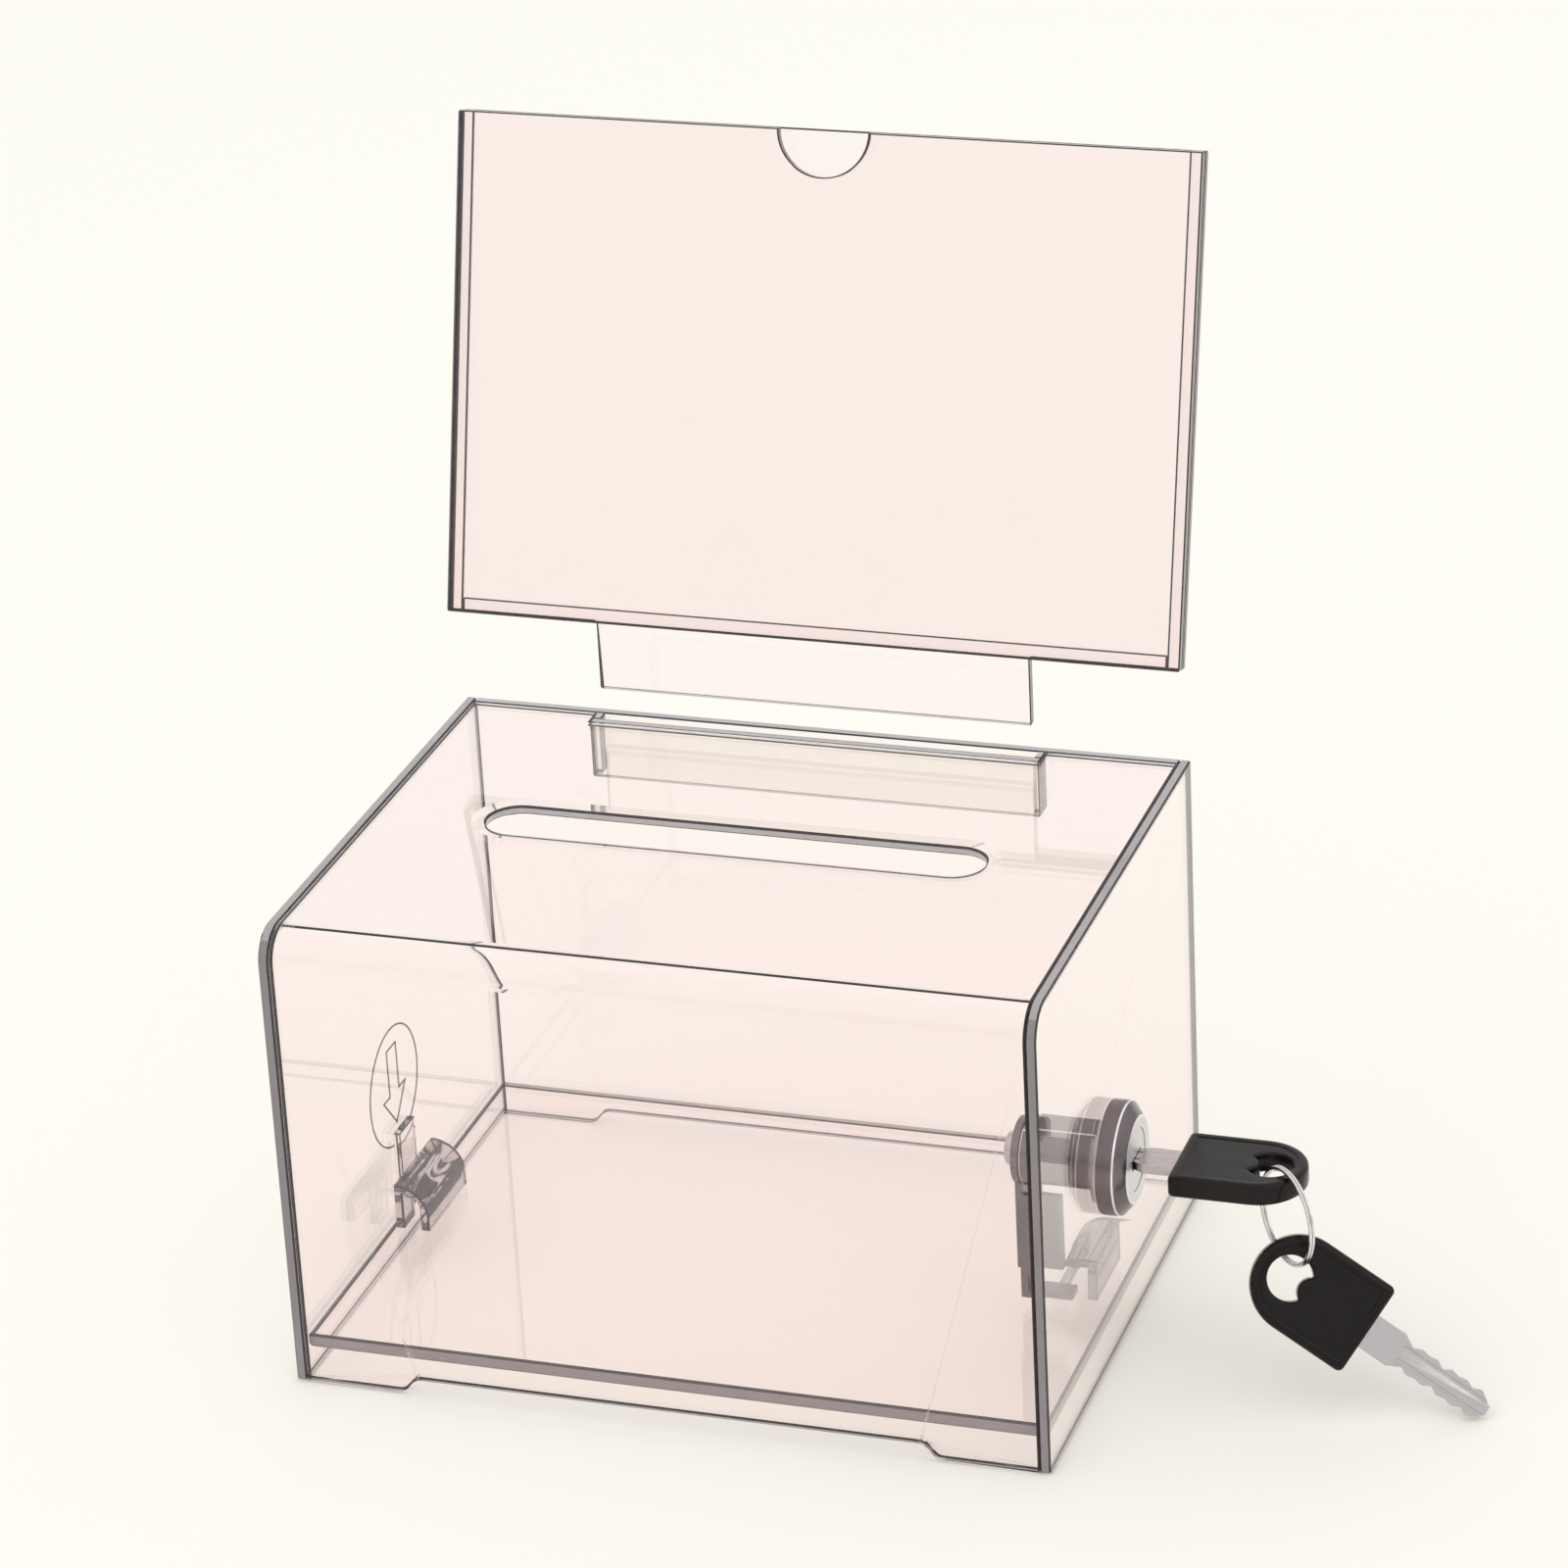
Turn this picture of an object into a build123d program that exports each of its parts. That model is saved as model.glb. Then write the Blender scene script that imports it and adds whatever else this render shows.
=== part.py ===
# Countertop donation box in clear acrylic, with a bottom hatch held by a cam lock,
# a sign holder that plugs into a socket at the back, and two keys on a wire ring.
#
# Units are millimetres. +X is the box's right, where the lock is, +Y is its back and +Z is up.
# The origin is on the surface the box stands on, under the middle of the box.
from build123d import *
from math import cos, radians, sin
import os

# ---- driving dimensions: box ----
BOX_W = 158.0
BOX_D = 117.0
BOX_H = 100.0
WALL = 2.2
BEND_R = 7.0

# ---- feet: the front and back walls are cut away between them ----
SKIRT_RISE = 3.0
SKIRT_TOP_HALF = 52.0
SKIRT_FOOT_HALF = 57.0

# ---- coin slot ----
SLOT_LENGTH = 105.0
SLOT_WIDTH = 13.0
SLOT_X = -1.0
SLOT_Y = 3.0
SLOT_EASE_DEPTH = 0.3
SLOT_EASE_WIDTH = 3.0

# ---- sign holder ----
SIGN_LENGTH = 104.5
SIGN_SHEET = 2.0
SIGN_GAP = 1.0
SIGN_LEAN = 15.0
SIGN_FOOT_Z = 122.0
SPACER_WIDTH = 3.0
NOTCH_R = 9.5
TAB_HALF = 46.8
TAB_DROP = 15.3
TAB_FRONT_Y = 53.75

# ---- sign socket ----
SOCKET_HALF = 48.8
SOCKET_END = 1.6
SOCKET_FRONT_Y = 51.2
SOCKET_PLATE = 2.0
SOCKET_DEPTH = 14.0

# ---- bottom hatch ----
HATCH_Z = 7.0
HATCH_T = 3.0
HATCH_GAP = 0.3

# ---- clear catches ----
HOOD_WALL = 1.9
LEFT_HOOD_LENGTH = 22.0
LEFT_HOOD_DEPTH = 7.4
LEFT_HOOD_HEIGHT = 10.0
LEFT_HOOD_R = 7.0
LEFT_HOOD_INNER_R = 3.3
HOOK_WINDOW_WIDTH = 9.8
HOOK_WINDOW_HEIGHT = 7.0
TONGUE_T = 1.5
TONGUE_WIDTH = 8.4
TONGUE_TOP_Z = 28.5
TONGUE_FOOT_Z = 13.5
TONGUE_HOOK_T = 1.7
TONGUE_HOOK_REACH = 3.3
TONGUE_GAP = 0.4
RIGHT_HOOD_X = 64.3
RIGHT_HOOD_DEPTH = 8.9
RIGHT_HOOD_HEIGHT = 9.2
RIGHT_HOOD_R = 6.5
RIGHT_HOOD_FRONT_Y = -8.4
RIGHT_HOOD_LENGTH = 18.5
CAM_SLOT_LENGTH = 12.4
CAM_SLOT_LOW = 1.2
CAM_SLOT_HIGH = 7.0

# ---- cam lock ----
LOCK_Y = -11.0
LOCK_Z = 45.0
FLANGE_R = 11.6
FLANGE_BAND = 3.7
FLANGE_T = 6.0
FACE_R = 8.8
BARREL_R = 7.0
BARREL_FLAT = 6.2
BARREL_END_X = 62.6
BORE_R = 5.45
PLUG_R = 5.4
PLUG_FACE_R = 6.4
PLUG_FACE_T = 1.2
PLUG_RECESS = 0.3
RUNNING_FIT = 0.05
KEYWAY_WIDTH = 6.8
KEYWAY_HEIGHT = 2.3
KEYWAY_END_X = 65.0
CLIP_R = 9.5
CLIP_T = 1.0
GROOVE_R = 6.3
CAM_T = 1.5
CAM_FACE_X = 62.3
STUD_SIDE = 6.0
CAM_HUB_R = 6.8
CAM_ARM_WIDTH = 8.0
CAM_FLANGE_X = 68.4
CAM_FLANGE_TOP_Z = 36.8
CAM_FLANGE_FOOT_Z = 20.2
CAM_TIP_WIDTH = 4.0
CAM_TIP_Z = 12.3
CAM_TIP_X = 69.5
SCREW_R = 1.4
SCREW_HEAD_R = 3.4
SCREW_HEAD_T = 1.8
SCREW_LENGTH = 4.8
SCREW_HOLE_LENGTH = 5.2
SCREW_CROSS_LENGTH = 4.2
SCREW_CROSS_WIDTH = 0.7
WASHER_R = 4.6
WASHER_T = 0.6
WAFER_COUNT = 5
WAFER_PITCH = 2.8
WAFER_FIRST_X = 68.6
WAFER_T = 0.8
WAFER_LENGTH = 9.4
WAFER_HEIGHT = 4.4
WAFER_PLAY = 0.2

# ---- keys ----
KEY_HEAD_X = 93.3
HEAD_R = 9.9
HEAD_LENGTH = 26.0
HEAD_T = 4.6
HEAD_EASE = 0.7
HOLE_R = 4.6
HOLE_OFFSET = 2.4
HOLE_BULGE_R = 3.0
HOLE_BULGE_OFFSET = 5.2
BLADE_LENGTH = 28.0
BLADE_T = 1.9
BLADE_TANG = 6.0
SHOULDER_LENGTH = 7.6
SHOULDER_HALF = 3.7
SHOULDER_SLOPE = 1.0
CUT_HALF = 3.1
CUT_DEPTHS = (0.9, 0.4, 1.1, 0.5, 0.9)
PEAK_LOSS = 0.1
TIP_LENGTH = 3.0
TIP_HALF = 1.0
GROOVE_WIDTH = 0.6
GROOVE_DEPTH = 0.35
GROOVE_OFFSET = 1.4

# ---- key ring ----
RING_R = 9.8
WIRE_R = 0.6
RING_AZIMUTH = -47.0
RIM_MID = 6.4
RING_LIFT = 1.1

# ---- spare key: hangs on the ring with its tip just above the table ----
SPARE_AXIS = Vector(0.840, 0.022, -0.551)
SPARE_FACING = Vector(0.300, -0.858, 0.418)
SPARE_HANG = 3.25
SPARE_FORWARD = 2.5

# ---- worked out from the driving dimensions ----
HALF_W = BOX_W / 2
HALF_D = BOX_D / 2
INNER_X = HALF_W - WALL
INNER_Y = HALF_D - WALL
HATCH_TOP = HATCH_Z + HATCH_T
FACE_X = HALF_W + FLANGE_T
ARC_X = -(HEAD_LENGTH - HEAD_R)


def finish(piece, name):
    """Name a finished piece and write it to its own file."""
    piece.part.label = name
    export_step(piece.part, f"parts/{name}.step")


def x_plane(x):
    """The YZ plane at a given X, centred on the lock's axis."""
    return Plane(origin=(x, LOCK_Y, LOCK_Z), x_dir=(0, 1, 0), z_dir=(1, 0, 0))


def foot_cutout():
    """The outline cut out of a wall's foot: flat along the top, with an S curve down to each foot."""
    with BuildSketch() as cutout:
        with BuildLine():
            Polyline((SKIRT_TOP_HALF, SKIRT_RISE), (-SKIRT_TOP_HALF, SKIRT_RISE))
            Spline(
                (-SKIRT_TOP_HALF, SKIRT_RISE),
                (-SKIRT_FOOT_HALF, 0),
                tangents=((-1, 0), (-1, 0)),
            )
            Polyline((-SKIRT_FOOT_HALF, 0), (SKIRT_FOOT_HALF, 0))
            Spline(
                (SKIRT_FOOT_HALF, 0),
                (SKIRT_TOP_HALF, SKIRT_RISE),
                tangents=((-1, 0), (-1, 0)),
            )
        make_face()
    return cutout.sketch_local


os.makedirs("parts", exist_ok=True)

# ======================= box shell =======================

# Side panels: full end plates, with the front top corner rounded to the bend's radius
# and, on the right, the double-D hole that stops the lock turning.
for side, name in ((-1, "left_side_panel"), (1, "right_side_panel")):
    with BuildPart() as panel:
        with BuildSketch(Plane.YZ.offset(side * HALF_W)):
            with Locations((0, BOX_H / 2)):
                outline = Rectangle(BOX_D, BOX_H)
            fillet(outline.vertices().group_by(Axis.Y)[-1].sort_by(Axis.X)[0], BEND_R)
        extrude(amount=-side * WALL)
        if side > 0:
            with BuildSketch(x_plane(HALF_W)):
                Circle(BARREL_R + RUNNING_FIT)
                Rectangle(2 * BARREL_R, 2 * BARREL_FLAT + 2 * RUNNING_FIT, mode=Mode.INTERSECT)
            extrude(amount=-WALL, mode=Mode.SUBTRACT)
    finish(panel, name)

# Front and top: one sheet bent over the front edge, cut away between the front feet,
# notched at the back for the sign socket and slotted for coins.
with BuildPart() as front_top_panel:
    with BuildSketch(Plane.YZ.offset(-INNER_X)):
        with BuildLine():
            Polyline((INNER_Y, BOX_H), (-HALF_D + BEND_R, BOX_H))
            RadiusArc((-HALF_D + BEND_R, BOX_H), (-HALF_D, BOX_H - BEND_R), -BEND_R)
            Polyline((-HALF_D, BOX_H - BEND_R), (-HALF_D, 0), (-INNER_Y, 0), (-INNER_Y, BOX_H - BEND_R))
            RadiusArc((-INNER_Y, BOX_H - BEND_R), (-HALF_D + BEND_R, BOX_H - WALL), BEND_R - WALL)
            Polyline((-HALF_D + BEND_R, BOX_H - WALL), (INNER_Y, BOX_H - WALL), (INNER_Y, BOX_H))
        make_face()
    extrude(amount=2 * INNER_X)
    with BuildSketch(Plane.XY.offset(BOX_H)):
        with Locations((0, (SOCKET_FRONT_Y + INNER_Y) / 2)):
            Rectangle(2 * SOCKET_HALF, INNER_Y - SOCKET_FRONT_Y)
    extrude(amount=-WALL, mode=Mode.SUBTRACT)
    with BuildSketch(Plane.XY.offset(BOX_H)):
        with Locations((SLOT_X, SLOT_Y)):
            SlotOverall(SLOT_LENGTH, SLOT_WIDTH)
    extrude(amount=-WALL, mode=Mode.SUBTRACT)
    top_face = front_top_panel.faces().sort_by(Axis.Z)[-1]
    slot_rim = top_face.inner_wires()[0].edges()
    chamfer(slot_rim, SLOT_EASE_WIDTH, SLOT_EASE_DEPTH, reference=top_face)
    with BuildSketch(Plane.XZ.offset(HALF_D)):
        add(foot_cutout())
    extrude(amount=-WALL, mode=Mode.SUBTRACT)
finish(front_top_panel, "front_top_panel")

# Back panel, standing between the side panels, with the same feet.
with BuildPart() as back_panel:
    with BuildSketch(Plane.XZ.offset(-HALF_D)):
        with Locations((0, BOX_H / 2)):
            Rectangle(2 * INNER_X, BOX_H)
        add(foot_cutout(), mode=Mode.SUBTRACT)
    extrude(amount=WALL)
finish(back_panel, "back_panel")

# Sign socket: a plate and two end strips glued inside the back panel, open below.
with BuildPart() as sign_socket_plate:
    with BuildSketch(Plane.XY.offset(BOX_H)):
        with Locations((0, SOCKET_FRONT_Y + SOCKET_PLATE / 2)):
            Rectangle(2 * SOCKET_HALF, SOCKET_PLATE)
    extrude(amount=-SOCKET_DEPTH)
finish(sign_socket_plate, "sign_socket_plate")

SOCKET_BACK_Y = SOCKET_FRONT_Y + SOCKET_PLATE
for side, name in ((-1, "sign_socket_left_end"), (1, "sign_socket_right_end")):
    with BuildPart() as socket_end:
        with BuildSketch(Plane.XY.offset(BOX_H)):
            with Locations((side * (SOCKET_HALF - SOCKET_END / 2), (SOCKET_BACK_Y + INNER_Y) / 2)):
                Rectangle(SOCKET_END, INNER_Y - SOCKET_BACK_Y)
        extrude(amount=-SOCKET_DEPTH)
    finish(socket_end, name)

# Latch tongue on the left wall: a strip whose hooked foot reaches under the left catch hood.
with BuildPart() as left_latch_tongue:
    with BuildSketch(Plane.XZ.offset(-TONGUE_WIDTH / 2)):
        with BuildLine():
            Polyline(
                (-INNER_X, TONGUE_TOP_Z),
                (-INNER_X + TONGUE_T, TONGUE_TOP_Z),
                (-INNER_X + TONGUE_T, TONGUE_FOOT_Z + TONGUE_HOOK_T),
                (-INNER_X + TONGUE_T + TONGUE_HOOK_REACH, TONGUE_FOOT_Z + TONGUE_HOOK_T),
                (-INNER_X + TONGUE_T + TONGUE_HOOK_REACH, TONGUE_FOOT_Z),
                (-INNER_X, TONGUE_FOOT_Z),
                close=True,
            )
        make_face()
    extrude(amount=TONGUE_WIDTH)
finish(left_latch_tongue, "left_latch_tongue")

# ======================= bottom hatch =======================

with BuildPart() as base_plate:
    with BuildSketch(Plane.XY.offset(HATCH_Z)):
        Rectangle(2 * (INNER_X - HATCH_GAP), 2 * (INNER_Y - HATCH_GAP))
    extrude(amount=HATCH_T)
finish(base_plate, "base_plate")

# Left catch hood: a tunnel with a rounded corner towards the room. The tongue stands between it
# and the wall, and the hook reaches in through a window in its wall side.
left_tunnel_x = -INNER_X + TONGUE_T + TONGUE_GAP + LEFT_HOOD_DEPTH / 2
with BuildPart() as left_catch_hood:
    with BuildSketch(Plane.XZ.offset(-LEFT_HOOD_LENGTH / 2)):
        with Locations((left_tunnel_x, HATCH_TOP + LEFT_HOOD_HEIGHT / 2)):
            outside = Rectangle(LEFT_HOOD_DEPTH, LEFT_HOOD_HEIGHT)
        fillet(outside.vertices().group_by(Axis.Y)[-1].sort_by(Axis.X)[-1], LEFT_HOOD_R)
    extrude(amount=LEFT_HOOD_LENGTH)
    with BuildSketch(Plane.XZ.offset(-LEFT_HOOD_LENGTH / 2)):
        with Locations((left_tunnel_x, HATCH_TOP + (LEFT_HOOD_HEIGHT - HOOD_WALL) / 2)):
            inside = Rectangle(LEFT_HOOD_DEPTH - 2 * HOOD_WALL, LEFT_HOOD_HEIGHT - HOOD_WALL)
        fillet(inside.vertices().group_by(Axis.Y)[-1].sort_by(Axis.X)[-1], LEFT_HOOD_INNER_R)
    extrude(amount=LEFT_HOOD_LENGTH, mode=Mode.SUBTRACT)
    with BuildSketch(Plane.YZ.offset(left_tunnel_x)):
        with Locations((0, HATCH_TOP)):
            Rectangle(HOOK_WINDOW_WIDTH, HOOK_WINDOW_HEIGHT, align=(Align.CENTER, Align.MIN))
    extrude(amount=-LEFT_HOOD_DEPTH / 2, mode=Mode.SUBTRACT)
finish(left_catch_hood, "left_catch_hood")

# Right catch hood: a closed tunnel with a rounded inner corner. The cam's tip swings into its
# front end through the slot in its inner wall, and then holds the hatch up by the tunnel's roof.
RIGHT_HOOD_WALL_X = RIGHT_HOOD_X + RIGHT_HOOD_DEPTH
RIGHT_HOOD_TOP = HATCH_TOP + RIGHT_HOOD_HEIGHT
right_tunnel_x = RIGHT_HOOD_X + RIGHT_HOOD_DEPTH / 2
with BuildPart() as right_catch_hood:
    with BuildSketch(Plane.XZ.offset(-RIGHT_HOOD_FRONT_Y)):
        with Locations((right_tunnel_x, HATCH_TOP + RIGHT_HOOD_HEIGHT / 2)):
            outside = Rectangle(RIGHT_HOOD_DEPTH, RIGHT_HOOD_HEIGHT)
        fillet(outside.vertices().group_by(Axis.Y)[-1].sort_by(Axis.X)[0], RIGHT_HOOD_R)
    extrude(amount=-RIGHT_HOOD_LENGTH)
    with BuildSketch(Plane.XZ.offset(-RIGHT_HOOD_FRONT_Y)):
        with Locations((right_tunnel_x, HATCH_TOP + (RIGHT_HOOD_HEIGHT - HOOD_WALL) / 2)):
            inside = Rectangle(RIGHT_HOOD_DEPTH - 2 * HOOD_WALL, RIGHT_HOOD_HEIGHT - HOOD_WALL)
        fillet(inside.vertices().group_by(Axis.Y)[-1].sort_by(Axis.X)[0], RIGHT_HOOD_R - HOOD_WALL)
    extrude(amount=-RIGHT_HOOD_LENGTH, mode=Mode.SUBTRACT)
    with BuildSketch(Plane.YZ.offset(RIGHT_HOOD_X)):
        with Locations((RIGHT_HOOD_FRONT_Y, HATCH_TOP + CAM_SLOT_LOW)):
            Rectangle(CAM_SLOT_LENGTH, CAM_SLOT_HIGH - CAM_SLOT_LOW, align=(Align.MIN, Align.MIN))
    extrude(amount=RIGHT_HOOD_DEPTH / 2, mode=Mode.SUBTRACT)
finish(right_catch_hood, "right_catch_hood")

# ======================= sign holder =======================

# The sheet's own frame: local X along the box, local Y up the leaning sheet, local Z to the front.
sign_face = Plane(
    origin=(0, TAB_FRONT_Y, SIGN_FOOT_Z),
    x_dir=(1, 0, 0),
    z_dir=(0, -cos(radians(SIGN_LEAN)), sin(radians(SIGN_LEAN))),
)
UP_FROM_EDGE = (Align.CENTER, Align.MIN)

with BuildPart() as sign_back_plate:
    with BuildSketch(sign_face):
        Rectangle(BOX_W, SIGN_LENGTH, align=UP_FROM_EDGE)
    extrude(amount=-SIGN_SHEET)
    with BuildSketch(Plane.XZ.offset(-TAB_FRONT_Y)):
        with Locations((0, SIGN_FOOT_Z - TAB_DROP)):
            Rectangle(2 * TAB_HALF, TAB_DROP, align=UP_FROM_EDGE)
    extrude(amount=-SIGN_SHEET)
finish(sign_back_plate, "sign_back_plate")

with BuildPart() as sign_front_plate:
    with BuildSketch(sign_face.offset(SIGN_GAP)):
        Rectangle(BOX_W, SIGN_LENGTH, align=UP_FROM_EDGE)
        with Locations((0, SIGN_LENGTH)):
            Circle(NOTCH_R, mode=Mode.SUBTRACT)
    extrude(amount=SIGN_SHEET)
finish(sign_front_plate, "sign_front_plate")

for side, name in ((-1, "sign_left_spacer"), (1, "sign_right_spacer")):
    with BuildPart() as side_spacer:
        with BuildSketch(sign_face):
            with Locations((side * (HALF_W - SPACER_WIDTH / 2), 0)):
                Rectangle(SPACER_WIDTH, SIGN_LENGTH, align=UP_FROM_EDGE)
        extrude(amount=SIGN_GAP)
    finish(side_spacer, name)

with BuildPart() as sign_bottom_spacer:
    with BuildSketch(sign_face):
        Rectangle(BOX_W - 2 * SPACER_WIDTH, SPACER_WIDTH, align=UP_FROM_EDGE)
    extrude(amount=SIGN_GAP)
finish(sign_bottom_spacer, "sign_bottom_spacer")

# ======================= cam lock =======================

# Lock body: bevelled flange outside the wall and a flatted barrel inside it, bored for the plug.
with BuildPart() as lock_body:
    with BuildSketch(x_plane(HALF_W)):
        Circle(FLANGE_R)
    extrude(amount=FLANGE_T)
    chamfer(
        lock_body.edges().filter_by(GeomType.CIRCLE).sort_by(Axis.X)[-1],
        FLANGE_T - FLANGE_BAND,
        FLANGE_R - FACE_R,
        reference=lock_body.faces().filter_by(GeomType.CYLINDER)[0],
    )
    with BuildSketch(x_plane(BARREL_END_X)):
        Circle(BARREL_R)
        Rectangle(2 * BARREL_R, 2 * BARREL_FLAT, mode=Mode.INTERSECT)
    extrude(amount=HALF_W - BARREL_END_X)
    with BuildSketch(x_plane(INNER_X)):
        Circle(BARREL_R)
        Circle(GROOVE_R, mode=Mode.SUBTRACT)
    extrude(amount=-CLIP_T, mode=Mode.SUBTRACT)
    with BuildSketch(x_plane(BARREL_END_X)):
        Circle(BORE_R)
    extrude(amount=FACE_X - BARREL_END_X, mode=Mode.SUBTRACT)
    with BuildSketch(x_plane(FACE_X)):
        Circle(PLUG_FACE_R + RUNNING_FIT)
    extrude(amount=-(PLUG_RECESS + PLUG_FACE_T + RUNNING_FIT), mode=Mode.SUBTRACT)
finish(lock_body, "lock_body")

# Horseshoe clip in the barrel's groove, behind the wall.
with BuildPart() as lock_clip:
    with BuildSketch(x_plane(INNER_X)):
        Circle(CLIP_R)
        Circle(GROOVE_R, mode=Mode.SUBTRACT)
        with Locations((0, CLIP_R)):
            Rectangle(2 * GROOVE_R, 2 * CLIP_R, mode=Mode.SUBTRACT)
    extrude(amount=-CLIP_T)
finish(lock_clip, "lock_clip")

# Plug: faced cylinder with a keyway, pockets for the wafers and a square stud for the cam.
PLUG_FRONT_X = FACE_X - PLUG_RECESS
WAFER_XS = [WAFER_FIRST_X + i * WAFER_PITCH for i in range(WAFER_COUNT)]
CAM_BACK_X = CAM_FACE_X - CAM_T
with BuildPart() as lock_plug:
    with BuildSketch(x_plane(CAM_FACE_X)):
        Circle(PLUG_R)
    extrude(amount=PLUG_FRONT_X - CAM_FACE_X)
    with BuildSketch(x_plane(PLUG_FRONT_X)):
        Circle(PLUG_FACE_R)
    extrude(amount=-PLUG_FACE_T)
    with BuildSketch(x_plane(CAM_FACE_X)):
        Rectangle(STUD_SIDE, STUD_SIDE)
    extrude(amount=-CAM_T)
    with BuildSketch(x_plane(CAM_BACK_X)):
        Circle(SCREW_R)
    extrude(amount=SCREW_HOLE_LENGTH - WASHER_T, mode=Mode.SUBTRACT)
    with BuildSketch(x_plane(KEYWAY_END_X)):
        Rectangle(KEYWAY_WIDTH, KEYWAY_HEIGHT)
    extrude(amount=PLUG_FRONT_X - KEYWAY_END_X, mode=Mode.SUBTRACT)
    for wafer_x in WAFER_XS:
        with BuildSketch(x_plane(wafer_x - WAFER_PLAY / 2)):
            Rectangle(WAFER_LENGTH + WAFER_PLAY, WAFER_HEIGHT + WAFER_PLAY)
        extrude(amount=WAFER_T + WAFER_PLAY, mode=Mode.SUBTRACT)
finish(lock_plug, "lock_plug")

# Wafers: small plates across the plug, each with a window that the blade passes through.
with BuildPart() as lock_wafers:
    for wafer_x in WAFER_XS:
        with BuildSketch(x_plane(wafer_x)):
            Rectangle(WAFER_LENGTH, WAFER_HEIGHT)
            Rectangle(KEYWAY_WIDTH, KEYWAY_HEIGHT, mode=Mode.SUBTRACT)
        extrude(amount=WAFER_T)
finish(lock_wafers, "lock_wafers")

# Cam: hub and tapered arm, stiffened by a flange along its front edge, with a tip bent outwards.
with BuildPart() as lock_cam:
    with BuildSketch(Plane.YZ.offset(CAM_BACK_X)):
        with Locations((LOCK_Y, LOCK_Z)):
            Circle(CAM_HUB_R)
        with BuildLine():
            Polyline(
                (LOCK_Y - CAM_ARM_WIDTH / 2, LOCK_Z),
                (LOCK_Y + CAM_ARM_WIDTH / 2, LOCK_Z),
                (LOCK_Y + CAM_ARM_WIDTH / 2, CAM_FLANGE_FOOT_Z + CAM_TIP_WIDTH),
                (LOCK_Y + CAM_TIP_WIDTH / 2, CAM_FLANGE_FOOT_Z),
                (LOCK_Y + CAM_TIP_WIDTH / 2, CAM_TIP_Z),
                (LOCK_Y - CAM_TIP_WIDTH / 2, CAM_TIP_Z),
                (LOCK_Y - CAM_TIP_WIDTH / 2, CAM_FLANGE_FOOT_Z),
                (LOCK_Y - CAM_ARM_WIDTH / 2, CAM_FLANGE_FOOT_Z),
                close=True,
            )
        make_face()
        with Locations((LOCK_Y, LOCK_Z)):
            Rectangle(STUD_SIDE, STUD_SIDE, mode=Mode.SUBTRACT)
    extrude(amount=CAM_T)
    with BuildSketch(Plane.XZ.offset(-(LOCK_Y - CAM_ARM_WIDTH / 2))):
        with Locations((CAM_BACK_X, CAM_FLANGE_FOOT_Z)):
            Rectangle(
                CAM_FLANGE_X - CAM_BACK_X,
                CAM_FLANGE_TOP_Z - CAM_FLANGE_FOOT_Z,
                align=(Align.MIN, Align.MIN),
            )
    extrude(amount=-CAM_T)
    with BuildSketch(Plane.XZ.offset(-(LOCK_Y - CAM_TIP_WIDTH / 2))):
        with Locations((CAM_BACK_X, CAM_TIP_Z)):
            Rectangle(CAM_TIP_X - CAM_BACK_X, CAM_T, align=(Align.MIN, Align.MIN))
    extrude(amount=-CAM_TIP_WIDTH)
finish(lock_cam, "lock_cam")

with BuildPart() as cam_washer:
    with BuildSketch(x_plane(CAM_BACK_X)):
        Circle(WASHER_R)
        Circle(SCREW_R + RUNNING_FIT, mode=Mode.SUBTRACT)
    extrude(amount=-WASHER_T)
finish(cam_washer, "cam_washer")

SCREW_HEAD_X = CAM_BACK_X - WASHER_T
with BuildPart() as cam_screw:
    with BuildSketch(x_plane(SCREW_HEAD_X)):
        Circle(SCREW_HEAD_R)
    extrude(amount=-SCREW_HEAD_T)
    fillet(cam_screw.edges().filter_by(GeomType.CIRCLE).sort_by(Axis.X)[0], SCREW_HEAD_T / 2)
    with BuildSketch(x_plane(SCREW_HEAD_X)):
        Circle(SCREW_R - RUNNING_FIT)
    extrude(amount=SCREW_LENGTH)
    with BuildSketch(x_plane(SCREW_HEAD_X - SCREW_HEAD_T)):
        Rectangle(SCREW_CROSS_LENGTH, SCREW_CROSS_WIDTH)
        Rectangle(SCREW_CROSS_WIDTH, SCREW_CROSS_LENGTH)
    extrude(amount=SCREW_HEAD_T / 2, mode=Mode.SUBTRACT)
finish(cam_screw, "cam_screw")

# ======================= keys and ring =======================

# Ring: a wire circle standing in a vertical plane, round the rim of the first key's head.
ring_out = Vector(cos(radians(RING_AZIMUTH)), sin(radians(RING_AZIMUTH)), 0)
hole_centre = Vector(KEY_HEAD_X - ARC_X + HOLE_OFFSET, LOCK_Y, LOCK_Z)
ring_centre = hole_centre + ring_out * RIM_MID + Vector(0, 0, HEAD_T / 2 + RING_LIFT - RING_R)
ring_plane = Plane(origin=ring_centre, x_dir=ring_out, z_dir=ring_out.cross(Vector(0, 0, 1)))

# The spare key hangs from the ring's lowest point by the highest edge of its own hole.
spare_up = (Vector(0, 0, 1) - SPARE_FACING * SPARE_FACING.Z).normalized()
ring_foot = ring_centre - Vector(0, 0, RING_R)
spare_hole = ring_foot - spare_up * SPARE_HANG + SPARE_FACING * SPARE_FORWARD
spare_origin = spare_hole + SPARE_AXIS.normalized() * (HOLE_OFFSET - ARC_X)

key_planes = {
    "key": Plane(origin=(KEY_HEAD_X, LOCK_Y, LOCK_Z), x_dir=(-1, 0, 0), z_dir=(0, 0, 1)),
    "spare_key": Plane(origin=spare_origin, x_dir=SPARE_AXIS, z_dir=SPARE_FACING),
}

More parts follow.
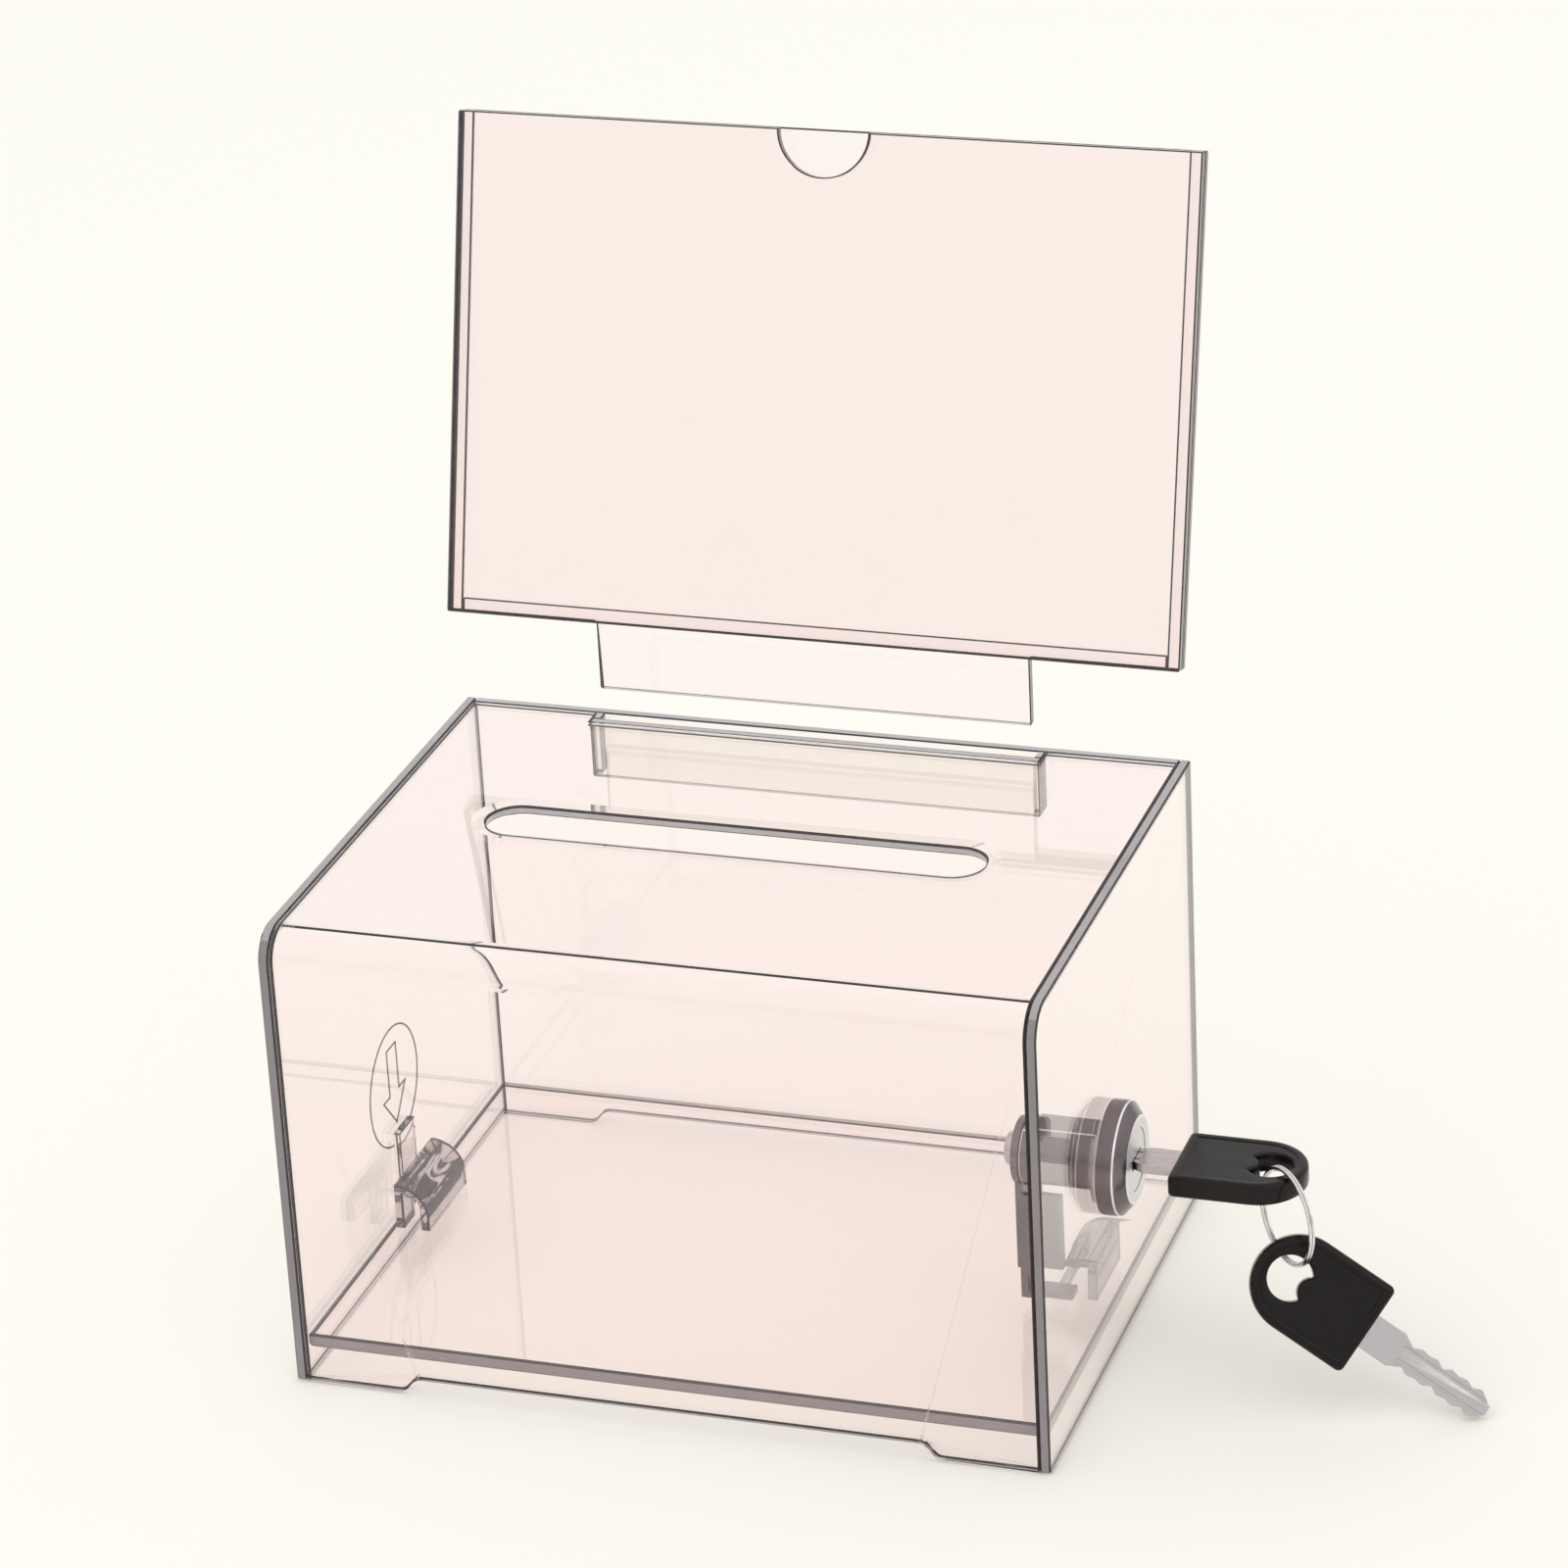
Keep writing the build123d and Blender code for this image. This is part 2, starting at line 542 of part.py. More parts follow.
# The blade's cut edge: a valley between each pair of peaks, from the shoulder to the tip.
cut_length = BLADE_LENGTH - SHOULDER_LENGTH - TIP_LENGTH
cut_step = cut_length / len(CUT_DEPTHS)
upper_edge = [(SHOULDER_LENGTH, CUT_HALF)]
for i, depth in enumerate(CUT_DEPTHS):
    valley_x = SHOULDER_LENGTH + (i + 0.5) * cut_step
    upper_edge.append((valley_x, CUT_HALF - depth))
    upper_edge.append((valley_x + cut_step / 2, CUT_HALF - PEAK_LOSS))
upper_edge.append((BLADE_LENGTH, TIP_HALF))
lower_edge = [(x, -y) for x, y in reversed(upper_edge)]
tang = [
    (-BLADE_TANG, -SHOULDER_HALF),
    (-BLADE_TANG, SHOULDER_HALF),
    (SHOULDER_LENGTH - SHOULDER_SLOPE, SHOULDER_HALF),
]
shoulder_foot = [(SHOULDER_LENGTH - SHOULDER_SLOPE, -SHOULDER_HALF)]

for name, plane in key_planes.items():
    with BuildPart() as blade:
        with BuildSketch(plane):
            with BuildLine():
                Polyline(*tang, *upper_edge, *lower_edge, *shoulder_foot, close=True)
            make_face()
        extrude(amount=BLADE_T / 2, both=True)
        for face_side in (-1, 1):
            with BuildSketch(plane.offset(face_side * BLADE_T / 2)):
                with Locations((SHOULDER_LENGTH, -GROOVE_OFFSET), (SHOULDER_LENGTH, GROOVE_OFFSET)):
                    Rectangle(BLADE_LENGTH, GROOVE_WIDTH, align=(Align.MIN, Align.CENTER))
            extrude(amount=-face_side * GROOVE_DEPTH, mode=Mode.SUBTRACT)
    finish(blade, f"{name}_blade")

    with BuildPart() as head:
        with BuildSketch(plane):
            with Locations((ARC_X, 0)):
                Circle(HEAD_R)
            with Locations((ARC_X / 2, 0)):
                Rectangle(-ARC_X, 2 * HEAD_R)
        extrude(amount=HEAD_T / 2, both=True)
        broad_faces = head.faces().filter_by(Plane(origin=(0, 0, 0), z_dir=plane.z_dir))
        chamfer(broad_faces.edges(), HEAD_EASE)
        with BuildSketch(plane):
            with Locations((ARC_X - HOLE_OFFSET, 0)):
                Circle(HOLE_R)
            with Locations((ARC_X - HOLE_OFFSET + HOLE_BULGE_OFFSET, 0)):
                Circle(HOLE_BULGE_R, mode=Mode.SUBTRACT)
        extrude(amount=HEAD_T, both=True, mode=Mode.SUBTRACT)
        with BuildSketch(plane):
            with Locations((-BLADE_TANG / 2, 0)):
                Rectangle(BLADE_TANG, 2 * SHOULDER_HALF)
        extrude(amount=BLADE_T / 2, both=True, mode=Mode.SUBTRACT)
    finish(head, f"{name}_head")

with BuildPart() as key_ring:
    with BuildSketch(Plane(origin=ring_centre, x_dir=ring_out, z_dir=(0, 0, 1))):
        with Locations((RING_R, 0)):
            Circle(WIRE_R)
    revolve(axis=Axis(ring_centre, ring_plane.z_dir), revolution_arc=360)
finish(key_ring, "key_ring")
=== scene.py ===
import math
import bmesh
import bpy
from mathutils import Matrix, Vector


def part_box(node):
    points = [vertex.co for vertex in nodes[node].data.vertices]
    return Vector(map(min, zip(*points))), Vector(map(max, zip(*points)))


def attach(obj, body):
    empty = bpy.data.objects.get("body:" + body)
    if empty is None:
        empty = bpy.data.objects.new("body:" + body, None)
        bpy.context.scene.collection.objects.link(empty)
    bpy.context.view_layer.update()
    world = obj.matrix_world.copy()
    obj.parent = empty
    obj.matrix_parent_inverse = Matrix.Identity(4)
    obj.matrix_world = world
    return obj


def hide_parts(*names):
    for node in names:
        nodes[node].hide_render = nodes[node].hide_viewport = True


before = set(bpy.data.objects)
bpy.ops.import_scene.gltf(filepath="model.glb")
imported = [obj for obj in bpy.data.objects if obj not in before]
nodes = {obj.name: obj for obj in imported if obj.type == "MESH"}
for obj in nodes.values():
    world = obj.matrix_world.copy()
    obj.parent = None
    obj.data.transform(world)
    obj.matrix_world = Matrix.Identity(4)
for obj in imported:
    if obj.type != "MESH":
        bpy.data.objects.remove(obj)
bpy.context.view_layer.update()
MM = 0.001

# ---------------------------------------------------------------- materials

# Where a colour Mix node keeps its factor, its two colours and its result.
MIX_FACTOR, MIX_A, MIX_B, MIX_RESULT = 0, 6, 7, 2
# The stretch of a noise's range that the roughness follows.
NOISE_LOW, NOISE_HIGH = 0.3, 0.7
ACRYLIC_IOR = 1.49


def patterned(name, colour, darker, rough, grain, bump=0.0, bump_size=0.0002, detail=4.0, **sockets):
    """A Principled material whose colour, roughness and relief drift with one noise.

    The colour runs from colour to colour times darker, and the roughness between the two values
    of rough. The grain is in marks per metre along x, y and z, and bump_size is in metres.
    """
    material = bpy.data.materials.new(name)
    material.use_nodes = True
    tree = material.node_tree
    shader = tree.nodes["Principled BSDF"]
    where = tree.nodes.new("ShaderNodeTexCoord")
    stretch = tree.nodes.new("ShaderNodeMapping")
    stretch.inputs["Scale"].default_value = grain
    noise = tree.nodes.new("ShaderNodeTexNoise")
    noise.inputs["Scale"].default_value = 1.0
    noise.inputs["Detail"].default_value = detail
    tree.links.new(where.outputs["Object"], stretch.inputs["Vector"])
    tree.links.new(stretch.outputs["Vector"], noise.inputs["Vector"])
    tint = tree.nodes.new("ShaderNodeMix")
    tint.data_type = "RGBA"
    tint.inputs[MIX_A].default_value = (*colour, 1)
    tint.inputs[MIX_B].default_value = (*(c * darker for c in colour), 1)
    tree.links.new(noise.outputs["Fac"], tint.inputs[MIX_FACTOR])
    tree.links.new(tint.outputs[MIX_RESULT], shader.inputs["Base Color"])
    spread = tree.nodes.new("ShaderNodeMapRange")
    spread.inputs["From Min"].default_value = NOISE_LOW
    spread.inputs["From Max"].default_value = NOISE_HIGH
    spread.inputs["To Min"].default_value = rough[0]
    spread.inputs["To Max"].default_value = rough[1]
    tree.links.new(noise.outputs["Fac"], spread.inputs["Value"])
    tree.links.new(spread.outputs["Result"], shader.inputs["Roughness"])
    if bump:
        relief = tree.nodes.new("ShaderNodeBump")
        relief.inputs["Strength"].default_value = bump
        relief.inputs["Distance"].default_value = bump_size
        tree.links.new(noise.outputs["Fac"], relief.inputs["Height"])
        tree.links.new(relief.outputs["Normal"], shader.inputs["Normal"])
    for socket, value in sockets.items():
        shader.inputs[socket.replace("_", " ")].default_value = value
    return material


def see_through(name, clearness, lamp_colour, *look):
    """Acrylic that refracts what is seen, and that lamps and soft room light shine straight through.

    Without the straight path a clear piece would throw a dark shadow, and the box's inside would
    be dark. lamp_colour is the tint that such light takes.
    """
    material = patterned(name, *look, Transmission_Weight=clearness, IOR=ACRYLIC_IOR)
    tree = material.node_tree
    path = tree.nodes.new("ShaderNodeLightPath")
    open_shader = tree.nodes.new("ShaderNodeBsdfTransparent")
    open_shader.inputs["Color"].default_value = (*lamp_colour, 1)
    shader = tree.nodes["Principled BSDF"].outputs["BSDF"]
    for ray in ("Is Shadow Ray", "Is Diffuse Ray"):
        mix = tree.nodes.new("ShaderNodeMixShader")
        tree.links.new(path.outputs[ray], mix.inputs[0])
        tree.links.new(shader, mix.inputs[1])
        tree.links.new(open_shader.outputs["BSDF"], mix.inputs[2])
        shader = mix.outputs["Shader"]
    tree.links.new(shader, tree.nodes["Material Output"].inputs["Surface"])
    return material


def metal(name, *look):
    return patterned(name, *look, Metallic=1.0)


# The sheets: clear broad faces with a faint pink tint, sawn edges, and a dark line of painted shade on
# each arris. Sawn edges that face up take the lit copy; upright ones, the base plate's upright ones and
# the walls' top ones take darker copies, which are painted shade.
acrylic = see_through("acrylic_clear", 1.0, (0.99, 0.975, 0.97),
                      (0.999, 0.947, 0.947), 0.994, (0.0, 0.012), (25, 25, 25), 0.02, 0.0001, 1.0)
acrylic_edge = see_through("acrylic_sawn_edge", 0.35, (0.85, 0.82, 0.83),
                           (0.80, 0.765, 0.78), 0.88, (0.10, 0.24), (160, 160, 900), 0.04, 0.0001)
# Darker copies of the sawn edge, painted shade: on the walls' top edges, on upright edges and on the base
# plate's upright edges.
wall_top_painted_shade = see_through("acrylic_wall_top_painted_shade", 0.32, (0.8, 0.77, 0.78),
                            (0.60, 0.56, 0.575), 0.85, (0.10, 0.24), (160, 160, 90), 0.04, 0.0001)
upright_edge_painted_shade = see_through("acrylic_upright_edge_painted_shade", 0.3, (0.75, 0.72, 0.73),
                         (0.40, 0.355, 0.375), 0.8, (0.10, 0.24), (160, 160, 90), 0.04, 0.0001)
base_plate_edge_painted_shade = see_through("acrylic_base_plate_edge_painted_shade", 0.2, (0.6, 0.56, 0.57),
                         (0.40, 0.345, 0.365), 0.8, (0.12, 0.28), (160, 160, 900), 0.05, 0.0001)
# Near black on the eased arrises of the clear pieces: painted shade.
arris_painted_shade = patterned("arris_painted_shade", (0.05, 0.04, 0.045), 0.7, (0.15, 0.35),
                          (300, 300, 300), 0.1)
acrylic_socket = see_through("acrylic_socket", 1.0, (0.97, 0.97, 0.95),
                             (0.93, 0.935, 0.89), 0.985, (0.0, 0.02), (25, 25, 60), 0.02, 0.0001, 1.0)

# The hatch's moulded catch hoods, smoky clear. They are lit and shaded copies of one smoky acrylic: the
# right one's darker copy is painted shade, and their arrises carry a dark line of painted shade.
smoky_left = see_through("catch_smoky_left", 0.95, (0.9, 0.88, 0.89),
                         (0.76, 0.72, 0.74), 0.88, (0.01, 0.06), (120, 120, 120), 0.1)
# The right hood's darker copy of the smoky acrylic: painted shade.
right_hood_painted_shade = see_through("catch_right_hood_painted_shade", 0.9, (0.86, 0.84, 0.85),
                          (0.50, 0.445, 0.47), 0.86, (0.01, 0.06), (120, 120, 120), 0.1)
hood_arris_painted_shade = patterned("catch_arris_painted_shade", (0.05, 0.04, 0.045), 0.7, (0.15, 0.35),
                        (300, 300, 300), 0.1)

# The lock, the keys and their ring.
zinc = metal("lock_satin_zinc", (0.20, 0.172, 0.18), 0.96, (0.2, 0.26), (60, 900, 900), 0.015)
# Lighter copies of the zinc: painted reflection on faces that face straight out, and a painted highlight
# on the eased rims.
face_painted_reflection = metal("lock_face_painted_reflection", (0.74, 0.725, 0.73), 0.95, (0.3, 0.4), (1400, 1400, 1400), 0.03)
rim_painted_highlight = metal("lock_rim_painted_highlight", (0.90, 0.885, 0.89), 0.95, (0.25, 0.35), (1400, 1400, 1400), 0.03)
steel = metal("plated_steel", (0.56, 0.54, 0.55), 0.85, (0.22, 0.36), (900, 900, 160), 0.06)
brass = metal("wafer_brass", (0.72, 0.56, 0.30), 0.85, (0.25, 0.4), (700, 700, 700), 0.1)
nickel = metal("key_nickel", (0.60, 0.56, 0.57), 0.85, (0.22, 0.34), (150, 900, 700), 0.05)
ring_metal = metal("ring_bright_wire", (0.86, 0.84, 0.85), 0.85, (0.12, 0.22), (900, 900, 900), 0.08)
key_black = patterned("key_black_plastic", (0.009, 0.0065, 0.006), 0.7, (0.13, 0.22),
                      (300, 300, 300), 0.03, Specular_IOR_Level=0.22)

# ---------------------------------------------------------------- CAD pieces that stay

# Lengths in millimetres, and the least angle between two faces that counts as an edge.
WELD_REACH = 0.002
GLUE_LINE = 0.012
EDGE_ANGLE = math.radians(28)
BEND_EDGE_ANGLE = math.radians(22)
# How far a face's normal has to lie along an axis to be a broad face or a level edge, and off
# both axes to be on the bend.
BROAD_FACING = 0.7
LEVEL_FACING = 0.75
OFF_AXIS = 0.02
# The material slots of a sheet.
CLEAR_SLOT, LEVEL_SLOT, ARRIS_SLOT, UPRIGHT_SLOT = 0, 1, 2, 3
# Widths of the dark arris lines of painted shade, and of the lock's rim of painted highlight, in
# millimetres.
PLAIN_ARRIS, WALL_ARRIS, HATCH_ARRIS, BENT_SHEET_ARRIS = 0.28, 0.36, 0.5, 0.42
HOOD_ARRIS, TONGUE_ARRIS, LOCK_RIM = 0.32, 0.2, 0.22


def soften(piece, width, segments, line_slot=None):
    """Eases the edges of a CAD piece by a width in millimetres.

    With a line_slot the eased strips take that material slot, and the piece shrinks by a glue
    line, so that its faces don't lie in its neighbours' faces.
    """
    join = piece.modifiers.new("join_corners", "WELD")
    join.merge_threshold = WELD_REACH * MM
    if line_slot is not None:
        part = piece.modifiers.new("glue_line", "DISPLACE")
        part.mid_level = 0.0
        part.strength = -GLUE_LINE * MM
    ease = piece.modifiers.new("eased_edges", "BEVEL")
    ease.width = width * MM
    ease.segments = segments
    ease.limit_method = "ANGLE"
    ease.angle_limit = EDGE_ANGLE
    ease.use_clamp_overlap = line_slot is None
    if line_slot is not None:
        ease.material = line_slot


def paint(name, *materials):
    """Gives a CAD node these materials, in this order of slots."""
    piece = nodes[name]
    piece.data.materials.clear()
    for material in materials:
        piece.data.materials.append(material)
    return piece


def sheet_faces(name, is_broad, arris=PLAIN_ARRIS, upright=upright_edge_painted_shade, clear=acrylic, level=acrylic_edge):
    """Clear broad faces, one material on level edges and another on upright ones, and a dark arris line
    of painted shade. The upright material is mostly a darker copy of the level one: painted shade.
    """
    piece = paint(name, clear, level, arris_painted_shade, upright)
    for face in piece.data.polygons:
        if is_broad(face.center / MM, face.normal):
            face.material_index = CLEAR_SLOT
        else:
            # Edges that face up take the lit level material; the others take the upright one, painted
            # shade where it is darker.
            face.material_index = LEVEL_SLOT if face.normal.z > LEVEL_FACING else UPRIGHT_SLOT
        face.use_smooth = False
    soften(piece, arris, 1, ARRIS_SLOT)
    return piece


def broad_across_x(centre, normal):
    return abs(normal.x) > BROAD_FACING


def broad_across_y(centre, normal):
    return abs(normal.y) > BROAD_FACING


def broad_across_z(centre, normal):
    return abs(normal.z) > BROAD_FACING


top_of_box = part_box("front_top_panel")[1].z / MM
front_of_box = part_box("front_top_panel")[0].y / MM
# In millimetres: a little more than the sheet's thickness, a little under its top face, past the
# bend from the front, and above the foot's lower edge.
UNDER_SHEET, UNDER_TOP, PAST_BEND, FOOT_EDGE = 2.3, 0.1, 10, 3.2
WALL_FACING = 0.2


def broad_on_bent_sheet(centre, normal):
    """The bent sheet is broad everywhere but at its ends, its foot and its slot's walls."""
    in_sheet = top_of_box - UNDER_SHEET < centre.z < top_of_box - UNDER_TOP
    behind_bend = centre.y > front_of_box + PAST_BEND
    slot_wall = in_sheet and behind_bend and abs(normal.z) < WALL_FACING
    foot = centre.z < FOOT_EDGE and normal.z < -WALL_FACING
    return abs(normal.x) < BROAD_FACING and not slot_wall and not foot


# The walls' top edges take a darker copy of the sawn edge: painted shade.
for name in ("left_side_panel", "right_side_panel"):
    sheet_faces(name, broad_across_x, WALL_ARRIS, level=wall_top_painted_shade)
for name in ("back_panel", "sign_back_plate", "sign_front_plate", "sign_left_spacer", "sign_right_spacer",
             "sign_bottom_spacer", "sign_socket_left_end", "sign_socket_right_end"):
    sheet_faces(name, broad_across_y)
sheet_faces("sign_socket_plate", broad_across_y, clear=acrylic_socket)
# The base plate's upright edges take a darker copy of the sawn edge: painted shade.
sheet_faces("base_plate", broad_across_z, HATCH_ARRIS, base_plate_edge_painted_shade)

# Only the bend is smooth shaded: a flat face that shares its shading shows a dark band at a low angle.
bent_sheet = sheet_faces("front_top_panel", broad_on_bent_sheet, BENT_SHEET_ARRIS, acrylic_edge)
for face in bent_sheet.data.polygons:
    face.use_smooth = abs(face.normal.y) > OFF_AXIS and abs(face.normal.z) > OFF_AXIS
part_edges = bent_sheet.modifiers.new("smooth_bend", "EDGE_SPLIT")
part_edges.split_angle = BEND_EDGE_ANGLE

for name, smoky in (("left_catch_hood", smoky_left), ("right_catch_hood", right_hood_painted_shade)):
    soften(paint(name, smoky, hood_arris_painted_shade), HOOD_ARRIS, 1, 1)
soften(paint("left_latch_tongue", acrylic, arris_painted_shade), TONGUE_ARRIS, 1, 1)

# The plug takes the lighter zinc of painted reflection.
for name, finish, width in (
    ("lock_plug", face_painted_reflection, 0.12), ("lock_clip", steel, 0.12), ("lock_cam", zinc, 0.2),
    ("cam_washer", steel, 0.1), ("cam_screw", steel, 0.1), ("lock_wafers", brass, 0.08),
    ("key_blade", nickel, 0.1), ("spare_key_blade", nickel, 0.1),
):
    soften(paint(name, finish), width, 3)

# The lock body: a dark turned band and chamfer, a painted highlight on the rim of each edge, and a
# painted reflection that makes the face round the plug light; that face stands further out than
# FLANGE_STEP from the wall and faces straight out.
FLANGE_STEP = 3
FACES_OUT = 0.9
wall_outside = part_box("right_side_panel")[1].x / MM
lock_body = paint("lock_body", zinc, rim_painted_highlight, face_painted_reflection)
for face in lock_body.data.polygons:
    if face.center.x / MM > wall_outside + FLANGE_STEP and face.normal.x > FACES_OUT:
        face.material_index = 2
# The eased rims take slot 1, the painted highlight.
soften(lock_body, LOCK_RIM, 2, 1)

# ---------------------------------------------------------------- pieces made here


def add_piece(name, mesh, material, body):
    """A piece from a mesh in metres, riding on a CAD body."""
    mesh.materials.append(material)
    piece = bpy.data.objects.new(name, mesh)
    bpy.context.scene.collection.objects.link(piece)
    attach(piece, body)
    return piece


def mesh_from_points(name, points, faces):
    """A smooth shaded mesh from points in millimetres."""
    mesh = bpy.data.meshes.new(name)
    mesh.from_pydata([tuple(p) for p in points], [], faces)
    mesh.transform(Matrix.Scale(MM, 4))
    mesh.shade_smooth()
    return mesh


def bridge(first, second, count):
    """Quads between two closed rows of points that start at these indices."""
    return [(first + i, first + (i + 1) % count, second + (i + 1) % count, second + i)
            for i in range(count)]


def arc(centre, radius, start, end, steps):
    """Points on an arc, ends included, with angles in radians."""
    angles = [start + (end - start) * i / steps for i in range(steps + 1)]
    return [(centre[0] + radius * math.cos(a), centre[1] + radius * math.sin(a)) for a in angles]


# Key heads, in millimetres: a D with a rounded end, a raised rim round a sunk panel, and a round
# hole with a bump on the blade's side. x runs along the key from the head's blade end.
HEAD_R = 9.9
HEAD_ARC_X = 16.1
CORNER_R, LEAST_CORNER_R = 1.3, 0.15
HOLE_X, HOLE_R = 18.5, 4.6
BULGE_X, BULGE_R = 13.3, 3.0
CORNER_STEPS, END_STEPS, HOLE_STEPS, BULGE_STEPS = 5, 28, 28, 12
# Each face's profile, as pairs of how far in from the outline and how high above the middle.
HEAD_RIM = [(0.0, 1.35), (0.1, 1.75), (0.32, 2.05), (0.65, 2.23), (1.0, 2.3), (1.75, 2.3),
            (1.9, 2.25), (2.05, 2.07)]
HOLE_LIP = [(0.0, 1.45), (0.08, 1.75), (0.25, 1.95), (0.5, 2.05), (0.75, 2.07)]
HEAD_WELD = 0.0005
HEAD_EDGE_ANGLE = math.radians(20)
FLAT_FACING = 0.999


def head_outline(inset):
    radius = HEAD_R - inset
    corner = max(CORNER_R - inset, LEAST_CORNER_R)
    right = math.pi / 2
    low = arc((inset + corner, -radius + corner), corner, 2 * right, 3 * right, CORNER_STEPS)
    end = arc((HEAD_ARC_X, 0), radius, -right, right, END_STEPS)
    high = arc((inset + corner, radius - corner), corner, right, 2 * right, CORNER_STEPS)
    return low + end + high


def hole_outline(outset):
    radius, bulge = HOLE_R + outset, BULGE_R - outset
    apart = HOLE_X - BULGE_X
    meet_x = (radius ** 2 - bulge ** 2 + apart ** 2) / (2 * apart)
    meet_y = math.sqrt(radius ** 2 - meet_x ** 2)
    wide = math.atan2(meet_y, -meet_x)
    narrow = math.atan2(meet_y, apart - meet_x)
    round_side = arc((HOLE_X, 0), radius, -wide, wide, HOLE_STEPS)
    return round_side + arc((BULGE_X, 0), bulge, narrow, -narrow, BULGE_STEPS)[1:-1]


def key_head(name, origin, along, facing, body):
    """The head's two faces are mirror images, joined by straight walls outside and round the hole."""
    along, facing = Vector(along).normalized(), Vector(facing).normalized()
    turn = Matrix((along, facing.cross(along), facing)).transposed()
    shape = bmesh.new()
    for side in (-1, 1):
        rims = []
        for outline, profile in ((head_outline, HEAD_RIM), (hole_outline, HOLE_LIP)):
            rows = []
            for offset, height in [(0.0, 0.0)] + profile:
                rows.append([shape.verts.new((x, y, side * height)) for x, y in outline(offset)])
            for low, high in zip(rows, rows[1:]):
                for i in range(len(low)):
                    j = (i + 1) % len(low)
                    shape.faces.new((low[i], low[j], high[j], high[i]))
            rims.append(rows[-1])
        edges = []
        for row in rims:
            for i in range(len(row)):
                edges.append(shape.edges.get((row[i], row[(i + 1) % len(row)])))
        bmesh.ops.triangle_fill(shape, edges=edges, use_beauty=True)
    bmesh.ops.remove_doubles(shape, verts=shape.verts, dist=HEAD_WELD)
    bmesh.ops.recalc_face_normals(shape, faces=shape.faces)
    mesh = bpy.data.meshes.new(name)
    shape.to_mesh(mesh)
    shape.free()
    mesh.shade_smooth()
    for face in mesh.polygons:
        if abs(face.normal.z) > FLAT_FACING:
            face.use_smooth = False
    mesh.transform(Matrix.Translation(Vector(origin)) @ turn.to_4x4())
    mesh.transform(Matrix.Scale(MM, 4))
    mesh.set_sharp_from_angle(angle=HEAD_EDGE_ANGLE)
    return add_piece(name, mesh, key_black, body)


# Where the CAD's two heads begin, the ways their blades point away from, and the ways they face.
KEY_ORIGIN = (93.3, -11, 45)
KEY_ALONG = (1, 0, 0)
KEY_FACING = (0, 0, 1)
SPARE_ORIGIN = (132.828, -18.7015, 16.7473)
SPARE_ALONG = (-0.840, -0.022, 0.551)
SPARE_FACING = (0.300, -0.858, 0.418)
moulded_head = key_head("key_head_moulded", KEY_ORIGIN, KEY_ALONG, KEY_FACING, "key")
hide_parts("key_head")
spare_head = key_head("spare_key_head_moulded", SPARE_ORIGIN, SPARE_ALONG, SPARE_FACING, "spare_key")
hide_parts("spare_key_head")

# Key ring, in millimetres: two turns of flattened wire, side by side, which cross over where the
# ends pass. The wire tapers to its two ends.
RING_CENTRE = Vector((116.1648, -15.6807, 38.6))
RING_HEADING = math.radians(-47)
RING_UP = Vector((0, 0, 1))
RING_OUT = Vector((math.cos(RING_HEADING), math.sin(RING_HEADING), 0))
RING_AXIS = RING_OUT.cross(RING_UP)
RING_R = 9.8
WIRE_HALF_WIDTH, WIRE_HALF_DEPTH = 0.288, 0.5
TURN_SHIFT = 0.3
RING_STEPS, WIRE_STEPS = 240, 12
FULL_TURN = 2 * math.pi
RING_TURNS = 2
CROSSING = math.radians(26)
RING_START = math.radians(150)
TIP_SIZE, TIP_GROWTH = 0.55, 9
ring_points = []
for i in range(RING_STEPS + 1):
    angle = FULL_TURN * RING_TURNS * i / RING_STEPS
    part_way = min(max((angle - FULL_TURN) / CROSSING + 0.5, 0), 1)
    shift = TURN_SHIFT * (2 * part_way * part_way * (3 - 2 * part_way) - 1)
    outward = RING_OUT * math.cos(angle + RING_START) + RING_UP * math.sin(angle + RING_START)
    taper = min(1.0, TIP_SIZE + TIP_GROWTH * min(i, RING_STEPS - i) / RING_STEPS)
    for k in range(WIRE_STEPS):
        spin = FULL_TURN * k / WIRE_STEPS
        ring_points.append(RING_CENTRE
                           + outward * (RING_R + taper * WIRE_HALF_DEPTH * math.cos(spin))
                           + RING_AXIS * (shift + taper * WIRE_HALF_WIDTH * math.sin(spin)))
ring_faces = []
for i in range(RING_STEPS):
    ring_faces += bridge(i * WIRE_STEPS, (i + 1) * WIRE_STEPS, WIRE_STEPS)
last_row = RING_STEPS * WIRE_STEPS
ring_faces.append(tuple(range(WIRE_STEPS)))
ring_faces.append(tuple(range(last_row + WIRE_STEPS - 1, last_row - 1, -1)))
ring_mesh = mesh_from_points("split_ring_coil", ring_points, ring_faces)
split_ring = add_piece("split_ring_coil", ring_mesh, ring_metal, "key_ring")
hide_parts("key_ring")

# Arrow mark, in millimetres: a circle and a downward arrow, as raised lines on the left wall's outer
# face, drawn in the dark arris material as painted shade of the relief. The outlines are y and z.
MARK_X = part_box("left_side_panel")[0].x / MM
MARK_Z = 37.5
MARK_R = 13.0
MARK_STEPS = 72
LINE_HALF_WIDTH, LINE_HEIGHT = 0.2, 0.25
LINE_ROOT = 0.05
LEAST_MITRE = 0.4
# The raised line's cross-section, as parts of its half width and of its height.
LINE_SECTION = ((-1, 0), (-0.6, 1), (0.6, 1), (1, 0))
mark_circle = arc((0, MARK_Z), MARK_R, 0, 2 * math.pi, MARK_STEPS)[:-1]
mark_arrow = [(-2.5, 46.5), (2.5, 46.5), (2.5, 36.0), (6.0, 36.0), (0, 29.0), (-6.0, 36.0),
              (-2.5, 36.0)]


